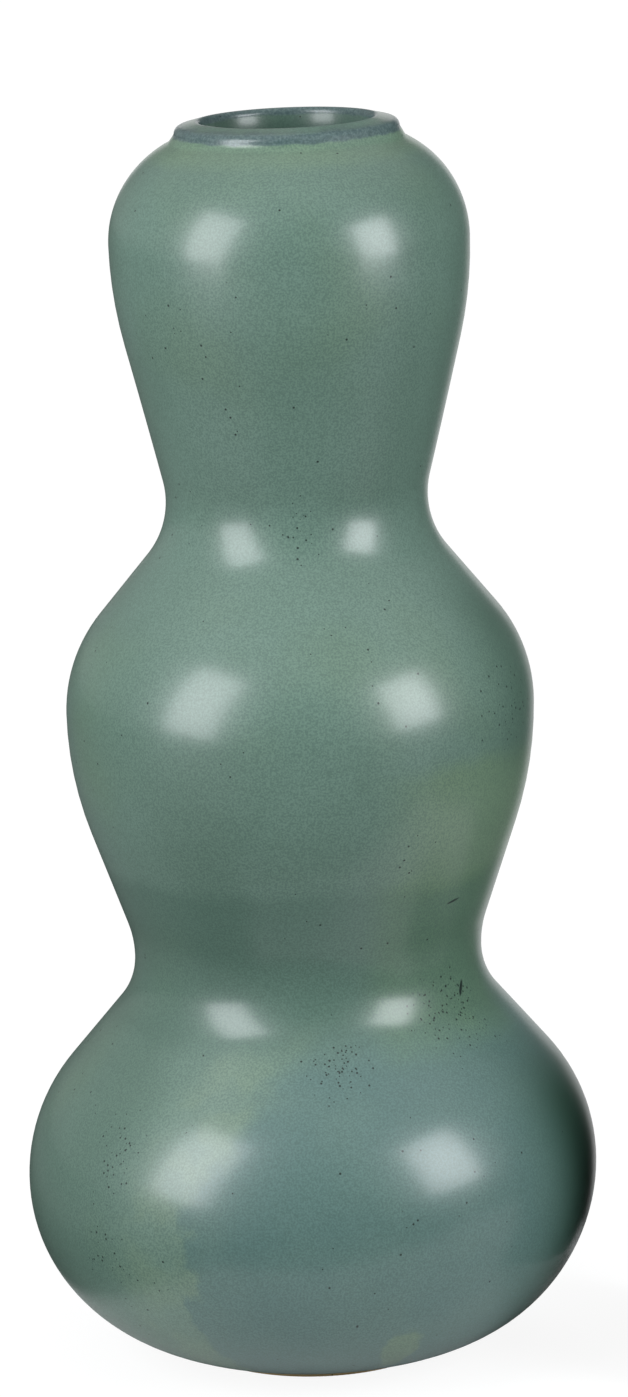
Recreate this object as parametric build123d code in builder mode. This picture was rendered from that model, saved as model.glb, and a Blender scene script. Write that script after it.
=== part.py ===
from build123d import *

import os
from dataclasses import dataclass, replace
from itertools import pairwise
from math import acos, asin, atan2, cos, degrees, radians, sin, sqrt, tan

# Triple gourd vase, thrown in sections that are luted with slip and then glazed.
# Sizes are in millimetres. Radii, levels and bends are those of the glazed surface,
# the axis is Z, and the table is at zero.

# Foot
foot_radius = 39.5
foot_width = 8.0            # on the table
foot_flare = 2.0            # added inside, where the ring meets the floor
foot_edge_round = 0.6
foot_clearance = 2.5        # table to the lowest glaze of the belly
bare_margin = 1.2           # clay left bare between the foot and the edge of the glaze

# Lower bulb
lower_belly_radius = 92.0
lower_belly_level = 59.5
lower_flank_length = 26.4   # straight stretch between the belly and the waist above

# Lower waist
lower_waist_radius = 55.8
lower_waist_rise = 72.3     # belly to waist
lower_hollow_below = 24.6
lower_hollow_above = 36.5

# Middle bulb
middle_belly_radius = 74.7
middle_belly_rise = 80.3
middle_flank_below = 31.5
middle_flank_above = 24.8

# Upper waist
upper_waist_radius = 41.6
upper_waist_rise = 67.6
upper_hollow_below = 28.5
upper_hollow_above = 27.5

# Upper bulb
upper_belly_radius = 56.9
upper_belly_rise = 82.0
upper_flank_length = 45.0
shoulder_bend = 35.2

# Mouth
throat_radius = 26.6
lip_width = 8.85            # across the roll, from the throat out
lip_slope = 14.0            # degrees that the top of the roll falls outwards
lip_bend = 2.6              # outer edge of the flattened roll
lip_edge_bend = 2.0         # its edge over the throat
throat_length = 5.86        # straight wall of the throat under the rolled lip
throat_edge_round = 2.0     # clay edge where the throat opens into the upper bulb
cove_bend = 3.6             # hollow between shoulder and lip

# Clay, slip and glaze
wall = 5.0
floor_thickness = 8.0
glaze = 0.8
slip = 0.8
tongue = 7.0                # height of the step in a waist seam
tongue_taper = 0.8          # lean of the step over that height

# Levels, from the table up
lower_waist_level = lower_belly_level + lower_waist_rise
middle_belly_level = lower_waist_level + middle_belly_rise
upper_waist_level = middle_belly_level + upper_waist_rise
upper_belly_level = upper_waist_level + upper_belly_rise

# Widest and narrowest rings of the outline, each as a radius and a level
lower_belly = (lower_belly_radius, lower_belly_level)
lower_waist = (lower_waist_radius, lower_waist_level)
middle_belly = (middle_belly_radius, middle_belly_level)
upper_waist = (upper_waist_radius, upper_waist_level)
upper_belly = (upper_belly_radius, upper_belly_level)

# Depths under the glazed outside
clay_outside = glaze
clay_inside = glaze + wall
glazed_inside = clay_inside + glaze

foot_top = foot_clearance + glaze          # underside of the clay floor
floor_level = foot_top + floor_thickness
axis_reach = lower_belly_radius + wall     # past every radius of the vase
meeting = 1e-6                             # bends nearer than this meet without a flank


@dataclass
class Bend:
    """Arc of the outline about a fixed centre. bulge is 1 where the clay lies inside it, -1 in a hollow."""

    radial: float
    level: float
    radius: float
    start: float
    end: float
    bulge: int = 1

    def radius_at(self, depth):
        return self.radius - self.bulge * depth

    def point_at(self, angle, depth):
        radius = self.radius_at(depth)
        return (self.radial + radius * cos(radians(angle)), self.level + radius * sin(radians(angle)))

    def draw(self, depth):
        start = self.point_at(self.start, depth)
        middle = self.point_at((self.start + self.end) / 2, depth)
        end = self.point_at(self.end, depth)
        ThreePointArc(start, middle, end)
        return start, end


def belly_to_waist(belly, waist, hollow, flank):
    """Bend of a belly and hollow of the waist next to it, with a straight flank that touches both."""
    belly_radius, belly_level = belly
    waist_radius, waist_level = waist
    inset = belly_radius - waist_radius
    rise = abs(waist_level - belly_level)
    both_bends = (inset**2 + rise**2 - flank**2) / (2 * inset)
    bend = both_bends - hollow
    turn = degrees(atan2(rise, both_bends - inset) - atan2(flank, both_bends))
    if waist_level < belly_level:
        turn = -turn
    belly_bend = Bend(belly_radius - bend, belly_level, bend, 0, turn)
    waist_bend = Bend(waist_radius + hollow, waist_level, hollow, 180 + turn, 180, -1)
    return belly_bend, waist_bend


def turned_round(bend):
    """The same bend drawn from its other end."""
    return replace(bend, start=bend.end, end=bend.start)


# Underside of the lower bulb: one quarter round from the foot to the belly
underside_radius = lower_belly_level - foot_clearance
underside = Bend(lower_belly_radius - underside_radius, lower_belly_level, underside_radius, -90, 0)

# Walls between the lower belly and the upper belly, from the bottom up
lower_above, lower_hollow_start = belly_to_waist(
    lower_belly, lower_waist, lower_hollow_below, lower_flank_length
)
middle_below, lower_hollow_end = belly_to_waist(
    middle_belly, lower_waist, lower_hollow_above, middle_flank_below
)
middle_above, upper_hollow_start = belly_to_waist(
    middle_belly, upper_waist, upper_hollow_below, middle_flank_above
)
upper_below, upper_hollow_end = belly_to_waist(
    upper_belly, upper_waist, upper_hollow_above, upper_flank_length
)
wall_bends = [
    lower_above,
    lower_hollow_start,
    turned_round(lower_hollow_end),
    turned_round(middle_below),
    middle_above,
    upper_hollow_start,
    turned_round(upper_hollow_end),
    turned_round(upper_below),
]

# Shoulder inside: it turns over a rounded clay edge into the throat
shoulder_radial = upper_belly_radius - shoulder_bend
throat_edge_radial = throat_radius + glaze + throat_edge_round
throat_edge_offset = throat_edge_radial - shoulder_radial
throat_edge_reach = shoulder_bend - clay_inside + throat_edge_round
throat_edge_rise = sqrt(throat_edge_reach**2 - throat_edge_offset**2)
throat_foot_level = upper_belly_level + throat_edge_rise
throat_edge_angle = degrees(atan2(throat_edge_rise, throat_edge_offset))
shoulder_inside = Bend(shoulder_radial, upper_belly_level, shoulder_bend, 0, throat_edge_angle)
throat_edge = Bend(
    throat_edge_radial, throat_foot_level, throat_edge_round - clay_inside, throat_edge_angle + 180, 180, -1
)

# Lip: two bends with a sloping top that touches both, and a cove between it and the shoulder
lip_edge_radial = throat_radius + lip_edge_bend
lip_edge_level = throat_foot_level + throat_length
lip_radial = throat_radius + lip_width - lip_bend
lip_fall = (lip_bend - lip_edge_bend) / cos(radians(lip_slope))
lip_fall += (lip_radial - lip_edge_radial) * tan(radians(lip_slope))
lip_level = lip_edge_level - lip_fall
shoulder_to_lip = sqrt((lip_radial - shoulder_radial) ** 2 + (lip_level - upper_belly_level) ** 2)
cove_reach = shoulder_bend + cove_bend
lip_reach = lip_bend + cove_bend
cove_lean = acos((shoulder_to_lip**2 + cove_reach**2 - lip_reach**2) / (2 * shoulder_to_lip * cove_reach))
cove_angle = atan2(lip_level - upper_belly_level, lip_radial - shoulder_radial) - cove_lean
cove_radial = shoulder_radial + cove_reach * cos(cove_angle)
cove_level = upper_belly_level + cove_reach * sin(cove_angle)
lip_angle = degrees(atan2(cove_level - lip_level, cove_radial - lip_radial))
shoulder_outside = Bend(shoulder_radial, upper_belly_level, shoulder_bend, 0, degrees(cove_angle))
cove = Bend(cove_radial, cove_level, cove_bend, degrees(cove_angle) + 180, lip_angle + 180, -1)
lip = Bend(lip_radial, lip_level, lip_bend, lip_angle, 90 - lip_slope)
lip_edge = Bend(lip_edge_radial, lip_edge_level, lip_edge_bend, 90 - lip_slope, 180)

# The seam under the lip runs out at the middle of the cove
lip_seam_level = cove.point_at((cove.start + cove.end) / 2, clay_outside)[1]

outside_bends = wall_bends + [shoulder_outside, cove, lip, lip_edge]
inside_bends = wall_bends + [shoulder_inside, throat_edge]


def draw_run(bends, depth):
    """Draws bends at a depth under the glaze, with the flanks between them, and returns both ends."""
    ends = [bend.draw(depth) for bend in bends]
    for (_, below), (above, _) in pairwise(ends):
        if (Vector(*below) - Vector(*above)).length > meeting:
            Line(below, above)
    return ends[0][0], ends[-1][1]


def underside_from(start_angle):
    return replace(underside, start=start_angle)


def draw_inside(level, depth):
    """Draws the inside of the wall at a depth under the glaze, from the floor level up to the throat."""
    floor_angle = degrees(asin((level - underside.level) / underside.radius_at(depth)))
    return draw_run([underside_from(floor_angle)] + inside_bends, depth)


def clay_section():
    """Half section of all the clay above the foot ring."""
    with BuildLine() as outline:
        under, lip_end = draw_run([underside] + outside_bends, clay_outside)
        corner, throat_end = draw_inside(floor_level, clay_inside)
        Line(lip_end, throat_end)
        Polyline(corner, (0, floor_level), (0, under[1]), under)
    make_face(outline.edges())


def belly_fill(depth, mode=Mode.ADD):
    """Half section of the lower bulb below its belly, filled to the axis, at a depth under the glaze."""
    with BuildLine() as outline:
        under, belly = underside.draw(depth)
        Polyline(belly, (0, belly[1]), (0, under[1]), under)
    make_face(outline.edges(), mode)


def foot_zone():
    """Half section of the foot ring, standing up into the floor, before the lower bulb is taken off it."""
    inner = foot_radius - foot_width
    with BuildLine() as outline:
        Polyline(
            (inner, 0),
            (foot_radius, 0),
            (foot_radius, floor_level),
            (inner - foot_flare, floor_level),
            (inner - foot_flare, foot_top),
            close=True,
        )
    make_face(outline.edges())


def stepped_seam(level, waist_radius, shift):
    """Section line of a waist seam, from the axis out: the inner half of the wall stands up as a tongue."""
    step = waist_radius - glaze - wall / 2 + shift
    tip = (step - tongue_taper / 2, level + tongue / 2 + shift)
    root = (step + tongue_taper / 2, level - tongue / 2 + shift)
    return [(0, tip[1]), tip, root, (axis_reach, root[1])]


def flat_seam(level, shift=0):
    return [(0, level + shift), (axis_reach, level + shift)]


def lower_seam(shift):
    return stepped_seam(lower_waist_level, lower_waist_radius, shift)


def upper_seam(shift):
    return stepped_seam(upper_waist_level, upper_waist_radius, shift)


def lip_seam(shift):
    return flat_seam(lip_seam_level, shift)


def clay_between(below, above):
    """Half section of the clay between two seam lines."""
    clay_section()
    with BuildLine() as outline:
        Polyline(*below, *reversed(above), close=True)
    make_face(outline.edges(), Mode.INTERSECT)


table_line = flat_seam(0)
crown_line = flat_seam(lip_level + lip_width)

# Foot ring, bare clay with softened edges on the table
with BuildPart() as foot_ring:
    with BuildSketch(Plane.XZ):
        foot_zone()
        belly_fill(clay_outside - slip, Mode.SUBTRACT)
    revolve(axis=Axis.Z)
    fillet(foot_ring.edges().group_by(Axis.Z)[0], foot_edge_round)

# Slip between the foot ring and the underside of the floor
with BuildPart() as foot_luting:
    with BuildSketch(Plane.XZ):
        foot_zone()
        belly_fill(clay_outside - slip, Mode.INTERSECT)
        belly_fill(clay_outside, Mode.SUBTRACT)
    revolve(axis=Axis.Z)

# Lower bulb with the floor, ending in the tongue of the lower waist
with BuildPart() as lower_bulb:
    with BuildSketch(Plane.XZ):
        clay_between(table_line, lower_seam(-slip / 2))
    revolve(axis=Axis.Z)

with BuildPart() as lower_waist_luting:
    with BuildSketch(Plane.XZ):
        clay_between(lower_seam(-slip / 2), lower_seam(slip / 2))
    revolve(axis=Axis.Z)

# Middle bulb, seated over the lower tongue and carrying the upper one
with BuildPart() as middle_bulb:
    with BuildSketch(Plane.XZ):
        clay_between(lower_seam(slip / 2), upper_seam(-slip / 2))
    revolve(axis=Axis.Z)

with BuildPart() as upper_waist_luting:
    with BuildSketch(Plane.XZ):
        clay_between(upper_seam(-slip / 2), upper_seam(slip / 2))
    revolve(axis=Axis.Z)

# Upper bulb with the shoulder
with BuildPart() as upper_bulb:
    with BuildSketch(Plane.XZ):
        clay_between(upper_seam(slip / 2), lip_seam(-slip / 2))
    revolve(axis=Axis.Z)

with BuildPart() as lip_luting:
    with BuildSketch(Plane.XZ):
        clay_between(lip_seam(-slip / 2), lip_seam(slip / 2))
    revolve(axis=Axis.Z)

# Rolled lip round the mouth
with BuildPart() as mouth_lip:
    with BuildSketch(Plane.XZ):
        clay_between(lip_seam(slip / 2), crown_line)
    revolve(axis=Axis.Z)

# Glaze coat over the outside, from above the foot over the lip and down the throat
glaze_line_angle = -degrees(acos((foot_radius + bare_margin - underside.radial) / underside.radius))
with BuildPart() as outer_glaze:
    with BuildSketch(Plane.XZ):
        with BuildLine():
            coat_bends = [underside_from(glaze_line_angle)] + outside_bends
            glaze_edge, glaze_lip_end = draw_run(coat_bends, 0)
            clay_edge, clay_lip_end = draw_run(coat_bends, clay_outside)
            Line(glaze_edge, clay_edge)
            Polyline(
                glaze_lip_end,
                (throat_radius, throat_foot_level),
                (throat_radius + glaze, throat_foot_level),
                clay_lip_end,
            )
        make_face()
    revolve(axis=Axis.Z)

# Liner coat over the whole inside, up to the foot of the throat
with BuildPart() as inner_glaze:
    with BuildSketch(Plane.XZ):
        with BuildLine():
            liner_level = floor_level + glaze
            clay_corner, clay_end = draw_inside(floor_level, clay_inside)
            liner_corner, liner_end = draw_inside(liner_level, glazed_inside)
            Line(clay_end, liner_end)
            Polyline(clay_corner, (0, floor_level), (0, liner_level), liner_corner)
        make_face()
    revolve(axis=Axis.Z)

pieces = {
    "foot_ring": foot_ring,
    "foot_luting": foot_luting,
    "lower_bulb": lower_bulb,
    "lower_waist_luting": lower_waist_luting,
    "middle_bulb": middle_bulb,
    "upper_waist_luting": upper_waist_luting,
    "upper_bulb": upper_bulb,
    "lip_luting": lip_luting,
    "mouth_lip": mouth_lip,
    "outer_glaze": outer_glaze,
    "inner_glaze": inner_glaze,
}

os.makedirs("parts", exist_ok=True)
for name, piece in pieces.items():
    piece.part.label = name
    export_step(piece.part, f"parts/{name}.step")
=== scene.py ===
from dataclasses import dataclass, replace
from math import acos, asin, atan2, ceil, cos, degrees, hypot, pi, radians, sin, sqrt, tan

import bmesh
import bpy
from mathutils import Matrix, Vector


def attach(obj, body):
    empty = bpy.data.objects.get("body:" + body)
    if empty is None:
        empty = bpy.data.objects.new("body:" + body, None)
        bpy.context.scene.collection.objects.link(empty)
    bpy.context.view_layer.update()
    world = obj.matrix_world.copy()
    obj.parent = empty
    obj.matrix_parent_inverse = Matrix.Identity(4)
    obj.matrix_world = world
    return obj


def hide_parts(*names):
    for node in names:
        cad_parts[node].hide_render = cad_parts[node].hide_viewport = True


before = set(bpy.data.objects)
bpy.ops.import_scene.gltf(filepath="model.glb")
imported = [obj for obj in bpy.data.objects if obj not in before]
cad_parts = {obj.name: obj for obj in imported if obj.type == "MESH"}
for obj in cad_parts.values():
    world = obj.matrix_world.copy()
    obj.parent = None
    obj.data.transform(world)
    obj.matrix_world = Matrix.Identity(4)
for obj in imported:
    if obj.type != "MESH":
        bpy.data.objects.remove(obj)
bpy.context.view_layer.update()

# Triple gourd vase in celadon glaze. Sizes are in metres, the axis is Z and the table is at zero.
# Radii, levels and bends are those of the glazed surface, the same as in the solids.

# Foot
foot_radius = 0.0395
foot_clearance = 0.0025       # table to the lowest glaze of the belly
bare_margin = 0.0012          # clay left bare between the foot and the edge of the glaze

# Lower bulb
lower_belly_radius = 0.0920
lower_belly_level = 0.0595
lower_flank_length = 0.0264   # straight stretch between the belly and the waist above

# Lower waist
lower_waist_radius = 0.0558
lower_waist_rise = 0.0723     # belly to waist
lower_hollow_below = 0.0246
lower_hollow_above = 0.0365

# Middle bulb
middle_belly_radius = 0.0747
middle_belly_rise = 0.0803
middle_flank_below = 0.0315
middle_flank_above = 0.0248

# Upper waist
upper_waist_radius = 0.0416
upper_waist_rise = 0.0676
upper_hollow_below = 0.0285
upper_hollow_above = 0.0275

# Upper bulb
upper_belly_radius = 0.0569
upper_belly_rise = 0.0820
upper_flank_length = 0.0450
shoulder_bend = 0.0352

# Mouth
throat_radius = 0.0266
lip_width = 0.00885           # across the roll, from the throat out
lip_slope = 14                # degrees that the top of the roll falls outwards
lip_bend = 0.0026             # outer edge of the flattened roll
lip_edge_bend = 0.0020        # its edge over the throat
throat_length = 0.00586       # straight wall of the throat under the rolled lip
throat_edge_round = 0.0020    # clay edge where the throat opens into the upper bulb
cove_bend = 0.0036            # hollow between shoulder and lip

# Clay and glaze
wall = 0.0050
floor_thickness = 0.0080
glaze = 0.0008
floor_pool = 0.0060           # glaze run together in the corner of the floor

# Traces of the hand
sway = 0.00035                # bulbs thrown a little to one side of one another
sway_level = 0.303            # where the vase leans most to the right
sway_length = 0.195           # height over which it leans out and back
lean = 0.007                  # rise of the rings to the right, per metre across
lean_free_level = 0.050       # sway and lean come in between the foot and this level
mouth_lean = 0.010            # further rise to the right over the rolled lip
throat_flare = 0.0006         # glaze drawn thin over the edge of the throat
cove_pool = 0.00045           # glaze gathered in the cove at both sides
cove_pool_free = 0.020        # distance across from which it gathers
ridge_height = 0.0003         # throwing ridges left inside
ridge_pitch = 0.0085

# Places where pinholes crowd: degrees to the right of the front, level, reach in degrees and in height
pit_clusters = [
    (8, 0.109, 10, 0.011),
    (-44, 0.080, 9, 0.018),
    (-45, 0.050, 8, 0.012),
    (2, 0.276, 14, 0.010),
    (49, 0.120, 22, 0.017),
    (62, 0.218, 16, 0.018),
]
pit_shares = [1.0, 0.35, 0.45, 0.35, 0.6, 0.35]

# Where the pour parts low on the right, and two small slanting nicks in the glaze, in the same terms
pour_gap = (20.5, 0.0178, 5.5, 0.0105)
nicks = [
    (48.1, 0.1564, 3.0, 0.0005),
    (58.0, 0.1252, 2.2, 0.0013),
]
nick_slants = [0.0002, 0.0011]   # rise per degree to the right

# Fineness of the meshes
bend_step = radians(3.2)
flank_parts = 10
round_steps = 168
floor_pool_steps = 6
round_profile = 0.5           # of a bevel
crisp_edge = radians(50)      # edges that turn by more than this are not smoothed
meeting = 1e-6                # points nearer than this are one

# Levels, from the table up
lower_waist_level = lower_belly_level + lower_waist_rise
middle_belly_level = lower_waist_level + middle_belly_rise
upper_waist_level = middle_belly_level + upper_waist_rise
upper_belly_level = upper_waist_level + upper_belly_rise
floor_level = foot_clearance + glaze + floor_thickness
liner_level = floor_level + glaze

# Widest and narrowest rings of the outline, each as a radius and a level
lower_belly = (lower_belly_radius, lower_belly_level)
lower_waist = (lower_waist_radius, lower_waist_level)
middle_belly = (middle_belly_radius, middle_belly_level)
upper_waist = (upper_waist_radius, upper_waist_level)
upper_belly = (upper_belly_radius, upper_belly_level)

# Depths under the glazed outside
clay_inside = glaze + wall
glazed_inside = clay_inside + glaze


@dataclass
class Bend:
    """Arc of the outline about a fixed centre. bulge is 1 where the clay lies inside it, -1 in a hollow."""

    radial: float
    level: float
    radius: float
    start: float
    end: float
    bulge: int = 1

    def radius_at(self, depth):
        return self.radius - self.bulge * depth

    def point_at(self, angle, depth):
        radius = self.radius_at(depth)
        turned = radians(angle)
        return Vector((self.radial + radius * cos(turned), 0, self.level + radius * sin(turned)))


def belly_to_waist(belly, waist, hollow, flank):
    """Bend of a belly and hollow of the waist next to it, with a straight flank that touches both."""
    belly_radius, belly_level = belly
    waist_radius, waist_level = waist
    inset = belly_radius - waist_radius
    rise = abs(waist_level - belly_level)
    both_bends = (inset**2 + rise**2 - flank**2) / (2 * inset)
    bend = both_bends - hollow
    turn = degrees(atan2(rise, both_bends - inset) - atan2(flank, both_bends))
    if waist_level < belly_level:
        turn = -turn
    belly_bend = Bend(belly_radius - bend, belly_level, bend, 0, turn)
    waist_bend = Bend(waist_radius + hollow, waist_level, hollow, 180 + turn, 180, -1)
    return belly_bend, waist_bend


def turned_round(bend):
    """The same bend drawn from its other end."""
    return replace(bend, start=bend.end, end=bend.start)


# Underside of the lower bulb: one quarter round from the foot to the belly
underside_radius = lower_belly_level - foot_clearance
underside = Bend(lower_belly_radius - underside_radius, lower_belly_level, underside_radius, -90, 0)

# Walls between the lower belly and the upper belly, from the bottom up
lower_above, lower_hollow_start = belly_to_waist(
    lower_belly, lower_waist, lower_hollow_below, lower_flank_length
)
middle_below, lower_hollow_end = belly_to_waist(
    middle_belly, lower_waist, lower_hollow_above, middle_flank_below
)
middle_above, upper_hollow_start = belly_to_waist(
    middle_belly, upper_waist, upper_hollow_below, middle_flank_above
)
upper_below, upper_hollow_end = belly_to_waist(
    upper_belly, upper_waist, upper_hollow_above, upper_flank_length
)
wall_bends = [
    lower_above,
    lower_hollow_start,
    turned_round(lower_hollow_end),
    turned_round(middle_below),
    middle_above,
    upper_hollow_start,
    turned_round(upper_hollow_end),
    turned_round(upper_below),
]

# Shoulder inside: it turns over a rounded clay edge into the throat
shoulder_radial = upper_belly_radius - shoulder_bend
throat_edge_radial = throat_radius + glaze + throat_edge_round
throat_edge_offset = throat_edge_radial - shoulder_radial
throat_edge_reach = shoulder_bend - clay_inside + throat_edge_round
throat_edge_rise = sqrt(throat_edge_reach**2 - throat_edge_offset**2)
throat_foot_level = upper_belly_level + throat_edge_rise
throat_edge_angle = degrees(atan2(throat_edge_rise, throat_edge_offset))
shoulder_inside = Bend(shoulder_radial, upper_belly_level, shoulder_bend, 0, throat_edge_angle)
throat_edge = Bend(
    throat_edge_radial, throat_foot_level, throat_edge_round - clay_inside, throat_edge_angle + 180, 180, -1
)

# Lip: two bends with a sloping top that touches both, and a cove between it and the shoulder
lip_edge_radial = throat_radius + lip_edge_bend
lip_edge_level = throat_foot_level + throat_length
lip_radial = throat_radius + lip_width - lip_bend
lip_fall = (lip_bend - lip_edge_bend) / cos(radians(lip_slope))
lip_fall += (lip_radial - lip_edge_radial) * tan(radians(lip_slope))
lip_level = lip_edge_level - lip_fall
shoulder_to_lip = sqrt((lip_radial - shoulder_radial) ** 2 + (lip_level - upper_belly_level) ** 2)
cove_reach = shoulder_bend + cove_bend
lip_reach = lip_bend + cove_bend
cove_lean = acos((shoulder_to_lip**2 + cove_reach**2 - lip_reach**2) / (2 * shoulder_to_lip * cove_reach))
cove_angle = atan2(lip_level - upper_belly_level, lip_radial - shoulder_radial) - cove_lean
cove_radial = shoulder_radial + cove_reach * cos(cove_angle)
cove_level = upper_belly_level + cove_reach * sin(cove_angle)
lip_angle = degrees(atan2(cove_level - lip_level, cove_radial - lip_radial))
shoulder_outside = Bend(shoulder_radial, upper_belly_level, shoulder_bend, 0, degrees(cove_angle))
cove = Bend(cove_radial, cove_level, cove_bend, degrees(cove_angle) + 180, lip_angle + 180, -1)
lip = Bend(lip_radial, lip_level, lip_bend, lip_angle, 90 - lip_slope)
lip_edge = Bend(lip_edge_radial, lip_edge_level, lip_edge_bend, 90 - lip_slope, 180)

outside_bends = wall_bends + [shoulder_outside, cove, lip, lip_edge]
inside_bends = wall_bends + [shoulder_inside, throat_edge]


# Drawing half sections in the XZ plane, and turning them round the axis

def draw_arc(section, pen, centre, turn):
    """Turns the pen point about a centre, in degrees from X towards Z, and returns where it ends."""
    angle = radians(turn)
    steps = max(2, ceil(abs(angle) / bend_step))
    drawn = bmesh.ops.spin(
        section, geom=[pen], cent=centre, axis=(0, -1, 0), angle=angle, steps=steps
    )
    return drawn["geom_last"][0]


def draw_line(section, pen, end, parts=1):
    """Draws a straight run of equal edges from the pen point and returns where it ends."""
    step = (Vector(end) - pen.co) / parts
    for _ in range(parts):
        drawn = bmesh.ops.extrude_vert_indiv(section, verts=[pen])
        pen = drawn["verts"][0]
        pen.co += step
    return pen


def draw_run(section, pen, bends, depth):
    """Draws bends at a depth under the glaze, with the flanks between them, and returns where they end."""
    for bend in bends:
        start = bend.point_at(bend.start, depth)
        if (start - pen.co).length > meeting:
            pen = draw_line(section, pen, start, flank_parts)
        pen = draw_arc(section, pen, (bend.radial, 0, bend.level), bend.end - bend.start)
    return pen


def backwards(bends):
    """The same run of bends drawn from its other end."""
    return [turned_round(bend) for bend in reversed(bends)]


def mark_glazed(section, layer, glazed):
    """Marks the points that lie on the glazed face of a coat, as against its clay face."""
    for point in section.verts:
        point[layer] = 0
    for point in glazed:
        point[layer] = 1


def turn_on_wheel(section):
    """Spins a section once round the axis into a closed skin."""
    outline = section.verts[:] + section.edges[:]
    bmesh.ops.spin(
        section,
        geom=outline,
        cent=(0, 0, 0),
        axis=(0, 0, 1),
        angle=2 * pi,
        steps=round_steps,
        use_merge=True,
    )
    bmesh.ops.remove_doubles(section, verts=section.verts, dist=meeting)
    bmesh.ops.recalc_face_normals(section, faces=section.faces)


def smooth_step(value, low, high):
    """0 up to low, 1 from high on, and a smooth rise between."""
    share = min(max((value - low) / (high - low), 0), 1)
    return share * share * (3 - 2 * share)


def throw_off_true(skin, layer):
    """Sways and leans the glazed face of a coat, growing from nothing at the foot."""
    for point in skin.verts:
        free = point[layer] * smooth_step(point.co.z, 0, lean_free_level)
        swayed = sway * cos(2 * pi * (point.co.z - sway_level) / sway_length)
        swayed *= 1 - smooth_step(point.co.z, upper_belly_level, throat_foot_level)
        leaning = lean + mouth_lean * smooth_step(point.co.z, throat_foot_level, lip_level)
        point.co += Vector((swayed, 0, leaning * point.co.x)) * free


def pool_in_cove(skin, layer):
    """Gathers glaze in the cove under the lip, most at the two sides of the vase."""
    for point in skin.verts:
        outward = Vector((point.co.x, point.co.y, 0))
        turn = degrees(atan2(point.co.z - cove.level, outward.length - cove.radial)) % 360
        share = (turn - cove.end) / (cove.start - cove.end)
        near = hypot(point.co.z - cove.level, outward.length - cove.radial) < cove.radius + meeting
        if near and 0 < share < 1:
            aside = smooth_step(abs(point.co.x), cove_pool_free, throat_radius + lip_width)
            depth = point[layer] * cove_pool * sin(pi * share) * aside
            point.co += outward.normalized() * depth * -cos(radians(turn))
            point.co.z += depth * -sin(radians(turn))


def flare_throat(skin, layer):
    """Thins the glaze down the throat, more and more towards the edge of the lip."""
    for point in skin.verts:
        outward = Vector((point.co.x, point.co.y, 0))
        inner = min(max((lip_edge_radial - outward.length) / lip_edge_bend, 0), 1)
        rise = min(max((point.co.z - throat_foot_level) / throat_length, 0), 1)
        point.co += outward.normalized() * (point[layer] * inner * throat_flare * rise**2)


def stand_in_place(name, skin, node, finish):
    """Makes a piece of a finished skin, in place of a node of the solids."""
    mesh = bpy.data.meshes.new(name)
    skin.to_mesh(mesh)
    skin.free()
    mesh.shade_smooth()
    mesh.set_sharp_from_angle(angle=crisp_edge)
    mesh.materials.append(finish)
    piece = bpy.data.objects.new(name, mesh)
    bpy.context.scene.collection.objects.link(piece)
    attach(piece, "root")
    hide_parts(node)
    return piece


def glaze_coat(finish):
    """Coat over the outside, from a bead above the foot over the lip and down the throat."""
    glaze_line = -degrees(acos((foot_radius + bare_margin - underside.radial) / underside.radius))
    bends = [replace(underside, start=glaze_line)] + outside_bends
    section = bmesh.new()
    layer = section.verts.layers.float.new("glazed")
    clay_edge = section.verts.new(underside.point_at(glaze_line, glaze))
    bead_centre = underside.point_at(glaze_line, glaze / 2)
    pen = draw_arc(section, clay_edge, bead_centre, 180)
    pen = draw_run(section, pen, bends, 0)
    pen = draw_line(section, pen, (throat_radius, 0, throat_foot_level), flank_parts)
    glazed = section.verts[:]
    pen = draw_line(section, pen, (throat_radius + glaze, 0, throat_foot_level))
    draw_run(section, pen, backwards(bends), glaze)
    mark_glazed(section, layer, glazed)
    turn_on_wheel(section)
    flare_throat(section, layer)
    pool_in_cove(section, layer)
    throw_off_true(section, layer)
    return stand_in_place("glaze_coat", section, "outer_glaze", finish)


def inside_from(level, depth):
    """Bends of the inside at a depth under the glaze, from a level of the floor up to the throat."""
    floor_angle = degrees(asin((level - underside.level) / underside.radius_at(depth)))
    return [replace(underside, start=floor_angle)] + inside_bends


def raise_throwing_ridges(skin, layer):
    """Lifts the glazed face of the liner in a slow spiral, as fingers leave it."""
    skin.normal_update()
    for point in skin.verts:
        turns = point.co.z / ridge_pitch + atan2(point.co.y, point.co.x) / (2 * pi)
        point.co += point.normal * (point[layer] * ridge_height * (1 + sin(2 * pi * turns)) / 2)


def liner_coat(finish):
    """Coat over the floor and the whole inside, up to the foot of the throat."""
    clay_bends = inside_from(floor_level, clay_inside)
    liner_bends = inside_from(liner_level, glazed_inside)
    section = bmesh.new()
    layer = section.verts.layers.float.new("glazed")
    pen = section.verts.new((0, 0, liner_level))
    corner = liner_bends[0].point_at(liner_bends[0].start, glazed_inside)
    pen = draw_line(section, pen, corner, flank_parts)
    corner_point = pen
    pen = draw_run(section, pen, liner_bends, glazed_inside)
    glazed = [point for point in section.verts if point is not corner_point]
    pen = draw_run(section, pen, backwards(clay_bends), clay_inside)
    draw_line(section, pen, (0, 0, floor_level))
    mark_glazed(section, layer, glazed)
    bmesh.ops.bevel(
        section,
        geom=[corner_point],
        offset=floor_pool,
        offset_type="OFFSET",
        segments=floor_pool_steps,
        profile=round_profile,
        affect="VERTICES",
        material=-1,
    )
    turn_on_wheel(section)
    raise_throwing_ridges(section, layer)
    throw_off_true(section, layer)
    return stand_in_place("liner_coat", section, "inner_glaze", finish)


# Finishes

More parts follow.
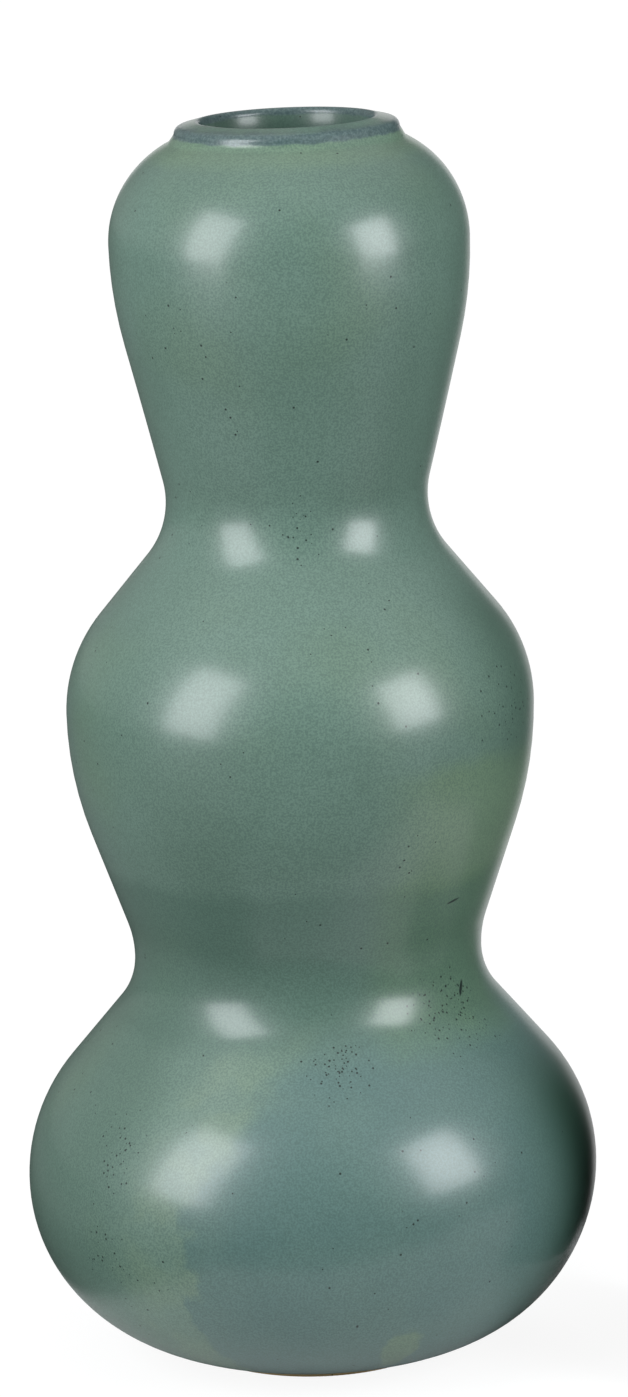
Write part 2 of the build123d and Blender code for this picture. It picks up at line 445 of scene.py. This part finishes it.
class Recipe:
    """Adds shader nodes to a tree and hands back the sockets that they give."""

    def __init__(self, tree):
        self.tree = tree

    def put(self, node, values):
        """Sets or links each of a node's inputs that values names."""
        for name, value in values.items():
            if isinstance(value, bpy.types.NodeSocket):
                self.tree.links.new(value, node.inputs[name])
            else:
                node.inputs[name].default_value = value

    def add(self, kind, values=None, **settings):
        """Adds a node, sets its options, and sets or links each of its inputs that values names."""
        node = self.tree.nodes.new("ShaderNode" + kind)
        for name, setting in settings.items():
            setattr(node, name, setting)
        self.put(node, values or {})
        return node

    def where(self):
        """Place on the piece in its own axes, whole and in its three parts."""
        place = self.add("TexCoord").outputs["Object"]
        across, back, level = self.add("SeparateXYZ", {"Vector": place}).outputs
        return place, across, back, level

    def math(self, operation, first, second=0.0):
        return self.add("Math", {0: first, 1: second}, operation=operation).outputs["Value"]

    def plus(self, first, second):
        return self.math("ADD", first, second)

    def less(self, first, second):
        return self.math("SUBTRACT", first, second)

    def divide(self, first, second):
        return self.math("DIVIDE", first, second)

    def larger(self, first, second):
        return self.math("MAXIMUM", first, second)

    def times(self, first, *others):
        """Product of any number of values."""
        product = first
        for value in others:
            product = self.math("MULTIPLY", product, value)
        return product

    def length(self, across, along):
        """Length of a straight line that runs so far across and so far along."""
        line = self.add("CombineXYZ", {"X": across, "Y": along}).outputs["Vector"]
        return self.add("VectorMath", {0: line}, operation="LENGTH").outputs["Value"]

    def fade(self, value, low, high):
        """Smooth step from 0 where value is at low to 1 where it is at high."""
        values = {"Value": value, "From Min": low, "From Max": high}
        return self.add("MapRange", values, interpolation_type="SMOOTHSTEP").outputs["Result"]

    def between(self, value, low, high, soft):
        """1 between low and high, fading to 0 over a soft edge outside each."""
        return self.times(self.fade(value, low - soft, low), self.fade(value, high + soft, high))

    def spread(self, value, low, high):
        """Stretches a value of 0 to 1 over low to high."""
        return self.add("MapRange", {"Value": value, "To Min": low, "To Max": high}).outputs["Result"]

    def noise(self, place, grain, detail=2):
        """Uneven value of 0 to 1 with patches about a grain across."""
        values = {"Vector": place, "Scale": 1 / grain, "Detail": detail}
        return self.add("TexNoise", values).outputs["Fac"]

    def clouds(self, place, grain, ends, detail=2):
        """Noise drawn out so that it is 0 at the first of its ends and 1 at the second."""
        return self.fade(self.noise(place, grain, detail), *ends)

    def waver(self, value, place, grain, reach, detail=2):
        """Shifts a value by up to a reach to both sides, in patches about a grain across."""
        return self.plus(value, self.spread(self.noise(place, grain, detail), -reach, reach))

    def blend(self, amount, under, over):
        values = {0: amount, 6: under, 7: over}
        return self.add("Mix", values, data_type="RGBA").outputs[2]

    def bump(self, height, strength):
        values = {"Height": height, "Distance": bump_depth, "Strength": strength}
        return self.add("Bump", values).outputs["Normal"]


def shade(red, green, blue):
    """Colour named by its screen values, 0 to 255, as the linear colour that a shader takes."""
    def linear(value):
        value = value / 255
        return value / 12.92 if value <= 0.04045 else ((value + 0.055) / 1.055) ** 2.4
    return (linear(red), linear(green), linear(blue), 1)


def grey(brightness):
    """Neutral colour of a linear brightness."""
    return (brightness, brightness, brightness, 1)


def new_finish(name):
    """New material, the recipe for its nodes, and its shader."""
    material = bpy.data.materials.new(name)
    material.use_nodes = True
    return material, Recipe(material.node_tree), material.node_tree.nodes["Principled BSDF"]


# Values that several finishes share
bump_depth = 0.0001
soft_clouds = (0.30, 0.70)
firm_clouds = (0.35, 0.65)
scattered_clouds = (0.52, 0.75)

# Three numbers for angles or levels are a low end, a high end and a soft edge. Two are where a fade starts
# and where it is complete, and two amounts belong to these two ends. A waver is a grain, a reach and
# sometimes a detail.

# Pinholes and nicks
large_pit = (0.0014, 0.00044)         # spacing and radius
large_pit_shares = (0.003, 0.6)       # open where none crowd, and where all do
small_pit = (0.0011, 0.00030)
small_pit_share = 0.4
pit_slope = 0.7                       # a pit is deepest inside this share of its radius
pit_colour = shade(20, 34, 32)
pit_amount = 0.95
stray_grain = 0.035                   # drifts of stray pits away from the clusters
stray_share = 0.04
cluster_fade = (1.1, 0.2)
nick_fade = (1.0, 0.6)


def pinholes(mix, place, spacing, radius, crowd):
    """1 in small round pits. crowd is the share of the pits that are open, from place to place."""
    cells = mix.add("TexVoronoi", {"Vector": place, "Scale": 1 / spacing})
    edge = radius / spacing
    pit = mix.fade(cells.outputs["Distance"], edge, pit_slope * edge)
    chance = mix.add("SeparateColor", {"Color": cells.outputs["Color"]}).outputs["Red"]
    return mix.times(pit, mix.math("LESS_THAN", chance, crowd))


def apart(mix, angle, level, spot):
    """Distance from the middle of a spot on the wall, as a share of its reach."""
    middle_angle, middle_level, wide, high = spot
    aside = mix.divide(mix.plus(angle, -middle_angle), wide)
    above = mix.divide(mix.plus(level, -middle_level), high)
    return mix.length(aside, above)


def crowded_with_pits(mix, place, angle, level):
    """Share of the pinholes that are open: a few in drifts, and most in the clusters."""
    crowd = mix.times(mix.clouds(place, stray_grain, scattered_clouds, detail=1), stray_share)
    for spot, share in zip(pit_clusters, pit_shares):
        near = mix.fade(apart(mix, angle, level, spot), *cluster_fade)
        crowd = mix.larger(crowd, mix.times(near, share))
    return crowd


def pits_and_nicks(mix, place, angle, level):
    """1 in the pinholes and in the slanting nicks."""
    crowd = crowded_with_pits(mix, place, angle, level)
    large = pinholes(mix, place, *large_pit, mix.spread(crowd, *large_pit_shares))
    small = pinholes(mix, place, *small_pit, mix.times(crowd, small_pit_share))
    hollows = mix.larger(large, small)
    for nick, slant in zip(nicks, nick_slants):
        nick_angle = nick[0]
        straightened = mix.less(level, mix.times(mix.plus(angle, -nick_angle), slant))
        cut = mix.fade(apart(mix, angle, straightened, nick), *nick_fade)
        hollows = mix.larger(hollows, cut)
    return hollows


# Ground of the celadon, and a darker stretch on the left of the lower bulb
ground_colours = shade(103, 131, 117), shade(111, 139, 126)
ground_grain = 0.045
darker_left_colour = shade(84, 112, 98)
darker_left_angles = (-100, -50, 18)
darker_left_levels = (0.050, 0.105, 0.025)
darker_left_amount = 0.5


def celadon_ground(mix, place, angle, level):
    """Green-grey glaze in soft clouds, darker on the left of the lower bulb."""
    colour = mix.blend(mix.clouds(place, ground_grain, soft_clouds, detail=3), *ground_colours)
    darker_left = mix.times(mix.between(angle, *darker_left_angles), mix.between(level, *darker_left_levels), darker_left_amount)
    return mix.blend(darker_left, colour, darker_left_colour)


# Yellow-green flush
flush_colour = shade(112, 139, 109)
flush_angles = (40, 85, 26)
flush_levels = (0.165, 0.199, 0.008)
flush_waver = (0.020, 0.004)
flush_amount = 0.75
drift_grain = 0.070
drift_amount = 0.3
waist_colour = shade(106, 140, 100)
waist_angles = (28, 70, 14)
waist_levels = (0.112, 0.160, 0.010)
waist_amount = 0.6


def warm_flush(mix, place, angle, level, colour):
    """Yellow-green on the right, low on the middle bulb and at the waist under it, and faintly elsewhere."""
    ragged = mix.waver(level, place, *flush_waver)
    flush = mix.times(mix.between(angle, *flush_angles), mix.between(ragged, *flush_levels), flush_amount)
    drift = mix.times(mix.clouds(place, drift_grain, scattered_clouds), drift_amount)
    colour = mix.blend(mix.larger(flush, drift), colour, flush_colour)
    waist = mix.times(mix.between(angle, *waist_angles), mix.between(ragged, *waist_levels), waist_amount)
    return mix.blend(waist, colour, waist_colour)


# Darker band at the lower waist
waist_band_colour = shade(76, 106, 93)
waist_band_levels = (0.118, 0.160, 0.009)
waist_band_waver = (0.030, 0.006)
waist_band_amount = 0.5


def darker_waist_band(mix, place, level, colour):
    """Darker band round the lower waist, with ragged edges."""
    ragged = mix.waver(level, place, *waist_band_waver)
    waist_band = mix.times(mix.between(ragged, *waist_band_levels), waist_band_amount)
    return mix.blend(waist_band, colour, waist_band_colour)


# Blue-grey pour
pour_colours = shade(88, 119, 117), shade(94, 124, 120)
pour_grain = 0.030
pour_amount = 0.8
pour_level = 0.046                    # where it reaches farthest to the left
pour_angle = -26                      # how far it reaches there
pour_half_height = 0.070              # above and below, its edge turns back over this height
pour_turn = 20                        # by this angle
pour_waver = (0.016, 10, 4)
pour_right = (125, 100)
pour_top = (0.122, 0.106)
pour_top_waver = (0.025, 0.006, 3)
pour_edge_start = -1                  # degrees inside its edge where it sets in
pour_edge_ends = (1.5, 12)            # where it is complete, low down and high up
pour_edge_levels = (0.060, 0.100)
border_colour = shade(122, 146, 122)
border_angles = (-10, 0, 10)
border_grain = 0.013
border_clouds = (0.42, 0.62)
border_amounts = (0.45, 0.10)
gap_colour = shade(120, 144, 114)
gap_fade = (1.0, 0.7)
gap_waver = (0.005, 0.4, 3)
gap_amount = 0.6
gap_pour = 0.1                        # share of the pour that is left in the gap


def blue_pour(mix, place, angle, level, colour):
    """Blue-grey pour over the front and right of the lower bulb, with a pale border on its left."""
    height = mix.math("ABSOLUTE", mix.plus(level, -pour_level))
    bent = mix.math("POWER", mix.divide(height, pour_half_height), 3)
    left_edge = mix.plus(mix.times(bent, pour_turn), pour_angle)
    inside = mix.waver(mix.less(angle, left_edge), place, *pour_waver)
    low = mix.fade(mix.waver(level, place, *pour_top_waver), *pour_top)
    patches = mix.spread(mix.clouds(place, border_grain, border_clouds), *border_amounts)
    border = mix.times(mix.between(inside, *border_angles), low, patches)
    colour = mix.blend(border, colour, border_colour)
    gap = mix.fade(mix.waver(apart(mix, angle, level, pour_gap), place, *gap_waver), *gap_fade)
    colour = mix.blend(mix.times(gap, gap_amount), colour, gap_colour)
    edge_end = mix.spread(mix.fade(level, *pour_edge_levels), *pour_edge_ends)
    pour = mix.times(mix.fade(inside, pour_edge_start, edge_end), low, mix.fade(angle, *pour_right))
    pour = mix.times(pour, mix.spread(gap, 1, gap_pour), pour_amount)
    return mix.blend(pour, colour, mix.blend(mix.clouds(place, pour_grain, firm_clouds), *pour_colours))


# Painted shade: darker green round on the right of the lower and middle bulbs
side_shade_start = (44, 72)
side_shade_end = (130, 92)
low_side_shade_colour = shade(48, 80, 65)
low_side_shade_levels = (0.112, 0.085)
low_side_shade_amount = 0.95
high_side_shade_colour = shade(72, 100, 85)
high_side_shade_levels = (0.208, 0.240, 0.022)
high_side_shade_amount = 0.7


def painted_side_shade(mix, angle, level, colour):
    """Painted shade: darker green on the right of the lower bulb and of the middle bulb."""
    # painted shade over the right side of the lower and middle bulbs, fading out round the back
    side = mix.times(mix.fade(angle, *side_shade_start), mix.fade(angle, *side_shade_end))
    low = mix.times(side, mix.fade(level, *low_side_shade_levels), low_side_shade_amount)
    colour = mix.blend(low, colour, low_side_shade_colour)
    high = mix.times(side, mix.between(level, *high_side_shade_levels), high_side_shade_amount)
    return mix.blend(high, colour, high_side_shade_colour)


# Colours round the mouth
lip_outside = (0.0280, 0.0295)        # radii between which the throat turns over into the lip
lip_waver = (0.006, 0.0010, 3)
under_lip_colour = shade(120, 149, 118)
under_lip_levels = (0.3920, 0.3950, 0.0050)
under_lip_grain = 0.020
under_lip_amounts = (0.2, 0.8)
# painted shade inside the throat, darker deeper down
throat_shade_colour = shade(44, 74, 62)
throat_shade_radii = (0.0290, 0.0272)
throat_shade_levels = (0.3990, 0.3975)
throat_shade_amount = 0.55
band_colours = shade(66, 87, 92), shade(96, 116, 118)
band_grain = 0.0009
band_foot = (0.3951, 0.3960)
band_top = (0.3998, 0.3982)
band_foot_inside = (0.3974, 0.3984)
band_amount = 0.9
crest_colour = shade(150, 152, 142)
crest_sides = (0.022, 0.030)
crest_levels = (0.3988, 0.3997)
crest_amount = 0.2


def mouth_band(mix, place, across, back, level, colour):
    """Blue-grey band round the lip, yellow-green under it, painted shade in the throat that deepens
    downwards, and a paler crest.
    """
    radius = mix.length(across, back)
    outside = mix.fade(radius, *lip_outside)
    levelled = mix.less(level, mix.times(across, lean + mouth_lean))
    height = mix.waver(levelled, place, *lip_waver)
    patches = mix.spread(mix.noise(place, under_lip_grain), *under_lip_amounts)
    under_lip = mix.times(mix.between(height, *under_lip_levels), patches, outside)
    colour = mix.blend(under_lip, colour, under_lip_colour)
    # painted shade: the throat darkens deeper down, towards the dark inside
    throat_shade = mix.times(mix.fade(radius, *throat_shade_radii), mix.fade(height, *throat_shade_levels), throat_shade_amount)
    colour = mix.blend(throat_shade, colour, throat_shade_colour)
    band_outside = mix.times(mix.fade(height, *band_foot), mix.fade(height, *band_top), outside)
    band_inside = mix.times(mix.fade(height, *band_foot_inside), mix.less(1, outside))
    band = mix.times(mix.larger(band_outside, band_inside), band_amount)
    colour = mix.blend(band, colour, mix.blend(mix.clouds(place, band_grain, firm_clouds), *band_colours))
    side = mix.fade(mix.math("ABSOLUTE", across), *crest_sides)
    crest = mix.times(mix.fade(level, *crest_levels), side, outside, crest_amount)
    return mix.blend(crest, colour, crest_colour)


# Surface of the celadon, with a drier stretch on the right of the lip
mottle_colour = shade(60, 84, 76)
mottle_grain = 0.0006
mottle_clouds = (0.32, 0.68)
mottle_amount = 0.45
peel_grain = 0.0024
peel_strength = 0.12
satin_grain = 0.020
satin_roughness = (0.34, 0.42)
dry_angles = (12, 60, 14)
dry_levels = (0.3935, 0.3955)
dry_roughness = 0.3
gloss_weights = (0.5, 0.05)           # clear gloss over the glaze, where it is satin and where it is dry
gloss_roughness = 0.2


def celadon_finish():
    """Satin celadon with clouds, pinholes, a blue-grey pour low down and a blue-grey lip."""
    material, mix, shader = new_finish("celadon_glaze")
    place, across, back, level = mix.where()
    angle = mix.math("DEGREES", mix.math("ARCTAN2", across, mix.times(back, -1)))
    colour = celadon_ground(mix, place, angle, level)
    colour = warm_flush(mix, place, angle, level, colour)
    colour = darker_waist_band(mix, place, level, colour)
    colour = blue_pour(mix, place, angle, level, colour)
    # painted shade on the right of the lower and middle bulbs
    colour = painted_side_shade(mix, angle, level, colour)
    colour = mouth_band(mix, place, across, back, level, colour)
    mottle = mix.times(mix.clouds(place, mottle_grain, mottle_clouds), mottle_amount)
    colour = mix.blend(mottle, colour, mottle_colour)
    hollows = pits_and_nicks(mix, place, angle, level)
    colour = mix.blend(mix.times(hollows, pit_amount), colour, pit_colour)
    dry = mix.times(mix.between(angle, *dry_angles), mix.fade(level, *dry_levels))
    satin = mix.spread(mix.noise(place, satin_grain), *satin_roughness)
    mix.put(shader, {
        "Base Color": colour,
        "Roughness": mix.plus(satin, mix.times(dry, dry_roughness)),
        "Normal": mix.bump(mix.less(mix.noise(place, peel_grain), hollows), peel_strength),
        "Coat Weight": mix.spread(dry, *gloss_weights),
        "Coat Roughness": gloss_roughness,
    })
    return material


# Liner glaze
liner_colours = shade(84, 112, 96), shade(98, 126, 110)
liner_grain = 0.030
liner_roughness = (0.22, 0.32)
pool_colour = shade(48, 78, 70)
pool_levels = (0.020, 0.009)
pool_waver = (0.020, 0.002)
pool_amount = 0.8
liner_mottle_colour = shade(60, 84, 74)
liner_mottle_grain = 0.0010
liner_mottle_amount = 0.35
liner_peel_grain = 0.0030
liner_peel_strength = 0.15


def liner_finish():
    """Thinner, darker glaze inside, in soft clouds, and deepest where it pooled on the floor."""
    material, mix, shader = new_finish("liner_glaze")
    place, _, _, level = mix.where()
    clouds = mix.clouds(place, liner_grain, soft_clouds, detail=3)
    colour = mix.blend(clouds, *liner_colours)
    pool = mix.fade(mix.waver(level, place, *pool_waver), *pool_levels)
    colour = mix.blend(mix.times(pool, pool_amount), colour, pool_colour)
    mottle = mix.clouds(place, liner_mottle_grain, firm_clouds)
    colour = mix.blend(mix.times(mottle, liner_mottle_amount), colour, liner_mottle_colour)
    mix.put(shader, {
        "Base Color": colour,
        "Roughness": mix.spread(clouds, *liner_roughness),
        "Normal": mix.bump(mix.noise(place, liner_peel_grain), liner_peel_strength),
    })
    return material


# Bare clay
clay_colours = shade(216, 182, 122), shade(224, 196, 142)
clay_grain = 0.012
clay_roughness = (0.75, 0.90)
clay_bump = 0.3
sand_grain = 0.0006
ring_colour = shade(150, 124, 84)
ring_pitch = 0.0011
ring_waver = (0.020, 0.0004)
ring_amounts = (0.08, 0.16)
ring_depth = 0.5                      # against the sand
grog = (0.0022, 0.00040)              # spacing and radius
grog_colour = shade(98, 74, 50)
grog_share = 0.5
grog_amount = 0.7


def stoneware_finish():
    """Buff fired clay with dark grog and the fine rings of the turning tool."""
    material, mix, shader = new_finish("bare_stoneware")
    place, across, back, level = mix.where()
    warmth = mix.clouds(place, clay_grain, soft_clouds, detail=3)
    colour = mix.blend(warmth, *clay_colours)
    run = mix.waver(mix.plus(mix.length(across, back), level), place, *ring_waver)
    rings = mix.math("SINE", mix.times(run, 2 * pi / ring_pitch))
    colour = mix.blend(mix.spread(rings, *ring_amounts), colour, ring_colour)
    specks = pinholes(mix, place, *grog, grog_share)
    colour = mix.blend(mix.times(specks, grog_amount), colour, grog_colour)
    surface = mix.plus(mix.times(rings, ring_depth), mix.noise(place, sand_grain, detail=3))
    mix.put(shader, {
        "Base Color": colour,
        "Roughness": mix.spread(warmth, *clay_roughness),
        "Normal": mix.bump(surface, clay_bump),
    })
    return material


# Slip in the seams
slip_colours = shade(180, 160, 120), shade(192, 174, 138)
slip_grain = 0.006
slip_roughness = (0.80, 0.95)
slip_bump = 0.4
crack_colour = shade(110, 92, 66)
crack_spacing = 0.004
crack_edges = (0.03, 0.01)            # in shares of the spacing
crack_amount = 0.7


def slip_finish():
    """Slip dried in a seam: the same clay, finer and greyer, with small cracks."""
    material, mix, shader = new_finish("dried_slip")
    place = mix.where()[0]
    clouds = mix.clouds(place, slip_grain, soft_clouds, detail=3)
    colour = mix.blend(clouds, *slip_colours)
    cells = mix.add("TexVoronoi", {"Vector": place, "Scale": 1 / crack_spacing}, feature="DISTANCE_TO_EDGE")
    cracks = mix.fade(cells.outputs["Distance"], *crack_edges)
    colour = mix.blend(mix.times(cracks, crack_amount), colour, crack_colour)
    mix.put(shader, {
        "Base Color": colour,
        "Roughness": mix.spread(clouds, *slip_roughness),
        "Normal": mix.bump(mix.less(clouds, cracks), slip_bump),
    })
    return material


def coat_solids(finish, nodes):
    """Gives the solids that stay in the picture their finish."""
    for node in nodes:
        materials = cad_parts[node].data.materials
        materials.clear()
        materials.append(finish)


glaze_coat(celadon_finish())
liner_coat(liner_finish())
coat_solids(stoneware_finish(), ["foot_ring", "lower_bulb", "middle_bulb", "upper_bulb", "mouth_lip"])
coat_solids(slip_finish(), ["foot_luting", "lower_waist_luting", "upper_waist_luting", "lip_luting"])


# Studio

def stage_plane(name, place, half_width, half_depth, turn, material):
    """Flat sheet of the studio, drawn level, then turned and put in its place."""
    sheet = bmesh.new()
    bmesh.ops.create_grid(sheet, x_segments=1, y_segments=1, size=1)
    bmesh.ops.scale(sheet, vec=(half_width, half_depth, 1), verts=sheet.verts)
    bmesh.ops.transform(sheet, matrix=Matrix.Translation(place) @ turn, verts=sheet.verts)
    mesh = bpy.data.meshes.new(name)
    sheet.to_mesh(mesh)
    sheet.free()
    mesh.materials.append(material)
    plane = bpy.data.objects.new(name, mesh)
    bpy.context.scene.collection.objects.link(plane)
    return plane


def camera_and_mirrored(mix):
    """1 for the rays of the camera, and 1 for those that the glaze mirrors."""
    rays = mix.add("LightPath").outputs
    return rays["Is Camera Ray"], mix.larger(rays["Is Glossy Ray"], rays["Is Transmission Ray"])


# White paper under the vase, and the darker ground round it
paper_colour = grey(0.65)
paper_sides = (-0.085, 0.400, 0.020)
paper_ends = (-0.165, 0.090, 0.020)
paper_skew = 0.15                     # its ends run askew by this much, per metre across
floor_near = grey(0.05)
floor_left = grey(0.18)
floor_left_edge = (-0.16, -0.26)
seen_near = grey(0.14)                # the ground in the camera's eyes, whitened by a light of its own
seen_far = grey(0.04)
seen_edge = (0.09, 0.22)
seen_light = (0.91, 1.0)
gleam_start = 0.09                    # pale ground behind the vase on the right, as the glaze mirrors it
gleam_left = (-0.20, -0.05)           # its two sides, per metre back
gleam_right = (0.62, 0.22)
gleam_back = (0.05, 0.20)
gleam_light = 0.75
least_back = 0.01


def ground_gleam(mix, across, back):
    """Light of the pale ground behind the vase, in a wedge that widens backwards."""
    turned = mix.divide(mix.plus(across, -gleam_start), mix.larger(back, least_back))
    wedge = mix.times(mix.fade(turned, *gleam_left), mix.fade(turned, *gleam_right))
    return mix.times(wedge, mix.fade(back, *gleam_back), gleam_light)


def paper_finish():
    """White paper with its left and front edges near the vase. The camera sees white ground all round."""
    material = bpy.data.materials.new("white_paper")
    material.use_nodes = True
    material.node_tree.nodes.clear()
    mix = Recipe(material.node_tree)
    place, across, back, _ = mix.where()
    skewed = mix.plus(back, mix.times(across, paper_skew))
    paper = mix.times(mix.between(across, *paper_sides), mix.between(skewed, *paper_ends))
    ground = mix.blend(mix.fade(across, *floor_left_edge), floor_near, floor_left)
    lit = mix.blend(paper, ground, paper_colour)
    distance = mix.add("VectorMath", {0: place}, operation="LENGTH").outputs["Value"]
    far = mix.fade(distance, *seen_edge)
    to_camera, mirrored = camera_and_mirrored(mix)
    colour = mix.blend(to_camera, lit, mix.blend(far, seen_near, seen_far))
    face = mix.add("BsdfDiffuse", {"Color": colour}).outputs["BSDF"]
    seen = mix.times(mix.spread(far, *seen_light), to_camera)
    gleam = mix.times(ground_gleam(mix, across, back), mirrored)
    glow = mix.add("Emission", {"Strength": mix.larger(seen, gleam)}).outputs["Emission"]
    both = mix.add("AddShader", {0: face, 1: glow}).outputs["Shader"]
    from_below = mix.add("NewGeometry").outputs["Backfacing"]
    clear = mix.add("BsdfTransparent").outputs["BSDF"]
    shown = mix.add("MixShader", {0: from_below, 1: both, 2: clear}).outputs["Shader"]
    mix.add("OutputMaterial", {"Surface": shown})
    return material


# Black net beside the lower bulb
net_place = (0.114, -0.010, 0.131)
net_half_height = 0.130
net_half_depth = 0.070
net_levels = (0.140, 0.075)
net_shading = (-0.048, -0.030, 0.028)     # front to back, where it keeps light off the vase
net_mirrored = (-0.058, 0.030, 0.018)     # where it is mirrored in the glaze, or stands on the floor
net_floor_levels = (0.060, 0.015)
net_colours = grey(0.010), grey(0.020)
fibre_grain = 0.002


def net_finish():
    """Black net, closed low down and opening out upwards and towards its edges."""
    material, mix, shader = new_finish("black_net")
    place, _, back, level = mix.where()
    mirrored = mix.add("LightPath").outputs["Is Glossy Ray"]
    wide = mix.between(back, *net_mirrored)
    standing = mix.larger(mix.between(back, *net_shading), mix.times(wide, mirrored))
    standing = mix.times(standing, mix.fade(level, *net_levels))
    at_floor = mix.times(wide, mix.fade(level, *net_floor_levels))
    mix.put(shader, {
        "Base Color": mix.blend(mix.noise(place, fibre_grain, detail=3), *net_colours),
        "Roughness": 0.9,
        "Specular IOR Level": 0.1,
        "Alpha": mix.larger(standing, at_floor),
    })
    return material


floor_gap = 0.0002                    # keeps the floor clear of the underside of the foot
floor_half = 9


def studio_sheets():
    """Floor, and a black net out of the camera's sight that darkens the right edge of the lower bulb."""
    level = Matrix.Identity(4)
    upright = Matrix.Rotation(pi / 2, 4, "Y")
    stage_plane("studio_floor", (0, 0, -floor_gap), floor_half, floor_half, level, paper_finish())
    net = stage_plane("edge_net", net_place, net_half_height, net_half_depth, upright, net_finish())
    net.visible_camera = False


lamp_aim = (0, 0, 0.2)
lamp_colour = (0.94, 0.97, 1.0)


def softbox(name, place, roll, width, height, watts):
    """Soft lamp facing the vase, rolled by some degrees about the line to it."""
    lamp = bpy.data.lights.new(name, "AREA")
    lamp.shape = "RECTANGLE"
    lamp.size = width
    lamp.size_y = height
    lamp.energy = watts
    lamp.color = lamp_colour
    stand = bpy.data.objects.new(name, lamp)
    facing = (Vector(lamp_aim) - Vector(place)).to_track_quat("-Z", "Y").to_matrix().to_4x4()
    stand.matrix_world = Matrix.Translation(place) @ facing @ Matrix.Rotation(radians(roll), 4, "Z")
    bpy.context.scene.collection.objects.link(stand)


# Room round the vase, by the direction that it is seen in
room_right = grey(0.06)
room_left = grey(0.325)
room_sides = (0.2, -0.9)
ceiling_colour = grey(0.7)
ceiling_edge = (0.35, 0.95)
backdrop_edge = (0.955, 0.990)
backdrop_right = 0.1                  # how far the backdrop reaches out to the right


def studio_air():
    """Dim room, lighter on the left and under a pale ceiling, with a white backdrop behind the vase."""
    world = bpy.data.worlds.new("studio_air")
    bpy.context.scene.world = world
    world.use_nodes = True
    world.node_tree.nodes.clear()
    mix = Recipe(world.node_tree)
    direction = mix.add("TexCoord").outputs["Generated"]
    across, back, height = mix.add("SeparateXYZ", {"Vector": direction}).outputs
    room = mix.blend(mix.fade(across, *room_sides), room_right, room_left)
    room = mix.blend(mix.fade(height, *ceiling_edge), room, ceiling_colour)
    air = mix.add("Background", {"Color": room}).outputs["Background"]
    white = mix.add("Background", {"Color": grey(1)}).outputs["Background"]
    to_camera, mirrored = camera_and_mirrored(mix)
    wider = mix.plus(back, mix.times(mix.larger(across, 0), backdrop_right))
    backdrop = mix.times(mirrored, mix.fade(wider, *backdrop_edge))
    shown = mix.add("MixShader", {0: mix.larger(to_camera, backdrop), 1: air, 2: white}).outputs["Shader"]
    mix.add("OutputWorld", {"Surface": shown})


camera_place = (0, -1.9, 0.617317)
camera_pitch = 0.20924                # downwards, in radians
camera_yaw = 0.00218                  # to the right
camera_roll = 0.02486


def studio_camera():
    """Long lens in front of the vase, looking a little down on it."""
    view = bpy.data.cameras.new("studio_camera")
    view.lens = 156.67
    view.sensor_width = 36
    view.clip_end = 50
    camera = bpy.data.objects.new("studio_camera", view)
    camera.matrix_world = (
        Matrix.Translation(camera_place)
        @ Matrix.Rotation(-camera_yaw, 4, "Z")
        @ Matrix.Rotation(pi / 2 - camera_pitch, 4, "X")
        @ Matrix.Rotation(-camera_roll, 4, "Z")
    )
    bpy.context.scene.collection.objects.link(camera)
    bpy.context.scene.camera = camera


studio_sheets()
studio_air()
softbox("left_softbox", place=(-0.776, -0.618, 0.59), roll=-10, width=0.53, height=0.86, watts=10.2)
softbox("right_softbox", place=(0.825, -0.569, 0.51), roll=8, width=0.47, height=0.61, watts=8.2)
studio_camera()
bpy.context.scene.view_settings.view_transform = "Standard"
